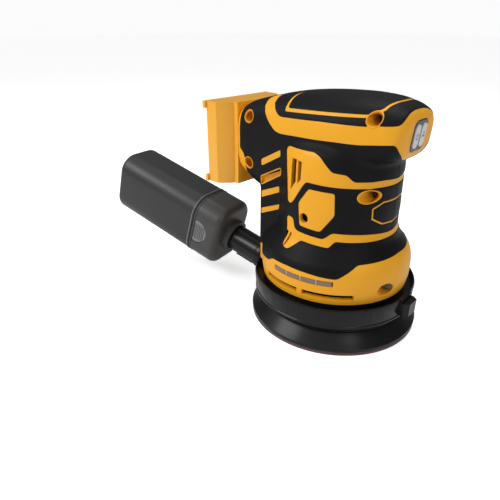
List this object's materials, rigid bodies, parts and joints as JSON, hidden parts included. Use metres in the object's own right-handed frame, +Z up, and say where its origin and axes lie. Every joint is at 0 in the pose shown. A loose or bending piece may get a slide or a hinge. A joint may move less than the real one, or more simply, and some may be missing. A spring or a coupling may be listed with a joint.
{
  "type": "orbital sander",
  "caption": "Cordless palm-grip random orbit sander with round pad, abrasive disc, rear battery bracket and clip-on dust box.",
  "frame": {"origin": "middle of the abrasive face, on the motor axis, where the sander rests on the work", "axes": "+Z up along the motor, +X towards the nose with the buttons, -X towards the battery bracket and dust box"},
  "size_m": [0.2736, 0.1248, 0.1622],
  "materials": {
    "yellow_shell": "satin moulded nylon",
    "yellow_bracket": "smooth moulded plastic",
    "rubber_grip": "matt fine-grained overmould",
    "screw_steel": "blackened steel",
    "black_nylon": "glass-filled nylon",
    "copper_blade": "tinned copper",
    "circuit_board": "solder-masked board",
    "heat_sink_aluminium": "extruded",
    "wire_sleeve": "insulated wire",
    "panel_grey": "moulded panel",
    "spring_steel": "spring steel",
    "smoked_lens": "smoked translucent lens",
    "core_steel": "laminated electrical steel",
    "copper_wire": "enamelled copper",
    "bearing_steel": "ground steel",
    "shroud_black": "glossy moulded plastic",
    "brake_rubber": "soft rubber",
    "shaft_steel": "ground steel",
    "hub_aluminium": "die cast",
    "weight_iron": "sintered iron",
    "pad_black": "moulded backing plate",
    "pad_foam": "moulded polyurethane",
    "hook_nylon": "hook tape",
    "abrasive_grit": "aluminium oxide grit on cloth",
    "button_white": "moulded button",
    "box_cover_grey": "satin moulded plastic",
    "box_grey": "satin moulded plastic",
    "latch_grey": "ribbed moulded plastic",
    "filter_paper": "pleated filter paper"
  },
  "bodies": {
    "housing": {"housing_right": "yellow_shell", "housing_left": "yellow_shell", "grip_right": "rubber_grip", "grip_left": "rubber_grip", "housing_screws": "screw_steel", "carrier_screws": "screw_steel", "battery_bracket": "yellow_bracket", "terminal_block": "black_nylon", "terminal_blades": "copper_blade", "controller_board": "circuit_board", "heat_sink": "heat_sink_aluminium", "wire_harness": "wire_sleeve", "button_panel": "panel_grey", "switch_board": "circuit_board", "switch_domes": "spring_steel", "light_lens_right": "smoked_lens", "light_lens_left": "smoked_lens", "stator_carrier": "black_nylon", "stator_core": "core_steel", "stator_windings": "copper_wire", "bearing_plate": "black_nylon", "bearing_bridge": "black_nylon", "lower_bearing_outer": "bearing_steel", "upper_bearing_outer": "bearing_steel", "dust_shroud": "shroud_black", "brake_ring": "brake_rubber", "shroud_screws": "screw_steel"},
    "rotor": {"motor_shaft": "shaft_steel", "rotor_magnet": "core_steel", "lower_bearing_inner": "bearing_steel", "upper_bearing_inner": "bearing_steel", "eccentric_hub": "hub_aluminium", "fan": "black_nylon", "counterweight": "weight_iron", "pad_bearing_outer": "bearing_steel"},
    "pad": {"pad_spindle": "shaft_steel", "spindle_clip": "spring_steel", "pad_bearing_inner": "bearing_steel", "pad_plate": "pad_black", "pad_foam": "pad_foam", "hook_face": "hook_nylon", "abrasive_disc": "abrasive_grit", "pad_washer": "screw_steel", "pad_screw": "screw_steel"},
    "power_key": {"power_button": "button_white"},
    "speed_key": {"speed_button": "button_white"},
    "cover": {"dust_box_cover": "box_cover_grey", "box_seal": "brake_rubber", "filter_frame": "black_nylon", "dust_filter": "filter_paper"},
    "box": {"dust_box": "box_grey"},
    "latch_right": {"box_latch_right": "latch_grey"},
    "latch_left": {"box_latch_left": "latch_grey"}
  },
  "joints": [
    {"name": "rotor_spin", "type": "hinge", "parent": "housing", "child": "rotor", "pos_m": [0, 0, 0.09], "axis": [0, 0, 1], "continuous": true},
    {"name": "pad_spin", "type": "hinge", "parent": "rotor", "child": "pad", "pos_m": [0.00125, 0, 0.03], "axis": [0, 0, 1], "continuous": true},
    {"name": "power_button_press", "type": "slide", "parent": "housing", "child": "power_key", "axis": [-0.9962, 0, 0.0872], "range_m": [0, 0.0005], "stiffness_N_per_m": 800, "springref_m": -0.0004},
    {"name": "speed_button_press", "type": "slide", "parent": "housing", "child": "speed_key", "axis": [-0.9962, 0, 0.0872], "range_m": [0, 0.0005], "stiffness_N_per_m": 800, "springref_m": -0.0004},
    {"name": "dust_box_pull", "type": "slide", "parent": "housing", "child": "cover", "axis": [-0.9418, -0.1661, 0.2924], "range_m": [0, 0.04]},
    {"name": "box_open", "type": "slide", "parent": "cover", "child": "box", "axis": [-0.9418, -0.1661, 0.2924], "range_m": [0, 0.04]},
    {"name": "latch_right_press", "type": "slide", "parent": "cover", "child": "latch_right", "axis": [-0.1736, 0.9848, 0], "range_m": [0, 0.0015], "stiffness_N_per_m": 600, "springref_m": -0.0008},
    {"name": "latch_left_press", "type": "slide", "parent": "cover", "child": "latch_left", "axis": [0.1736, -0.9848, 0], "range_m": [0, 0.0015], "stiffness_N_per_m": 600, "springref_m": -0.0008}
  ]
}
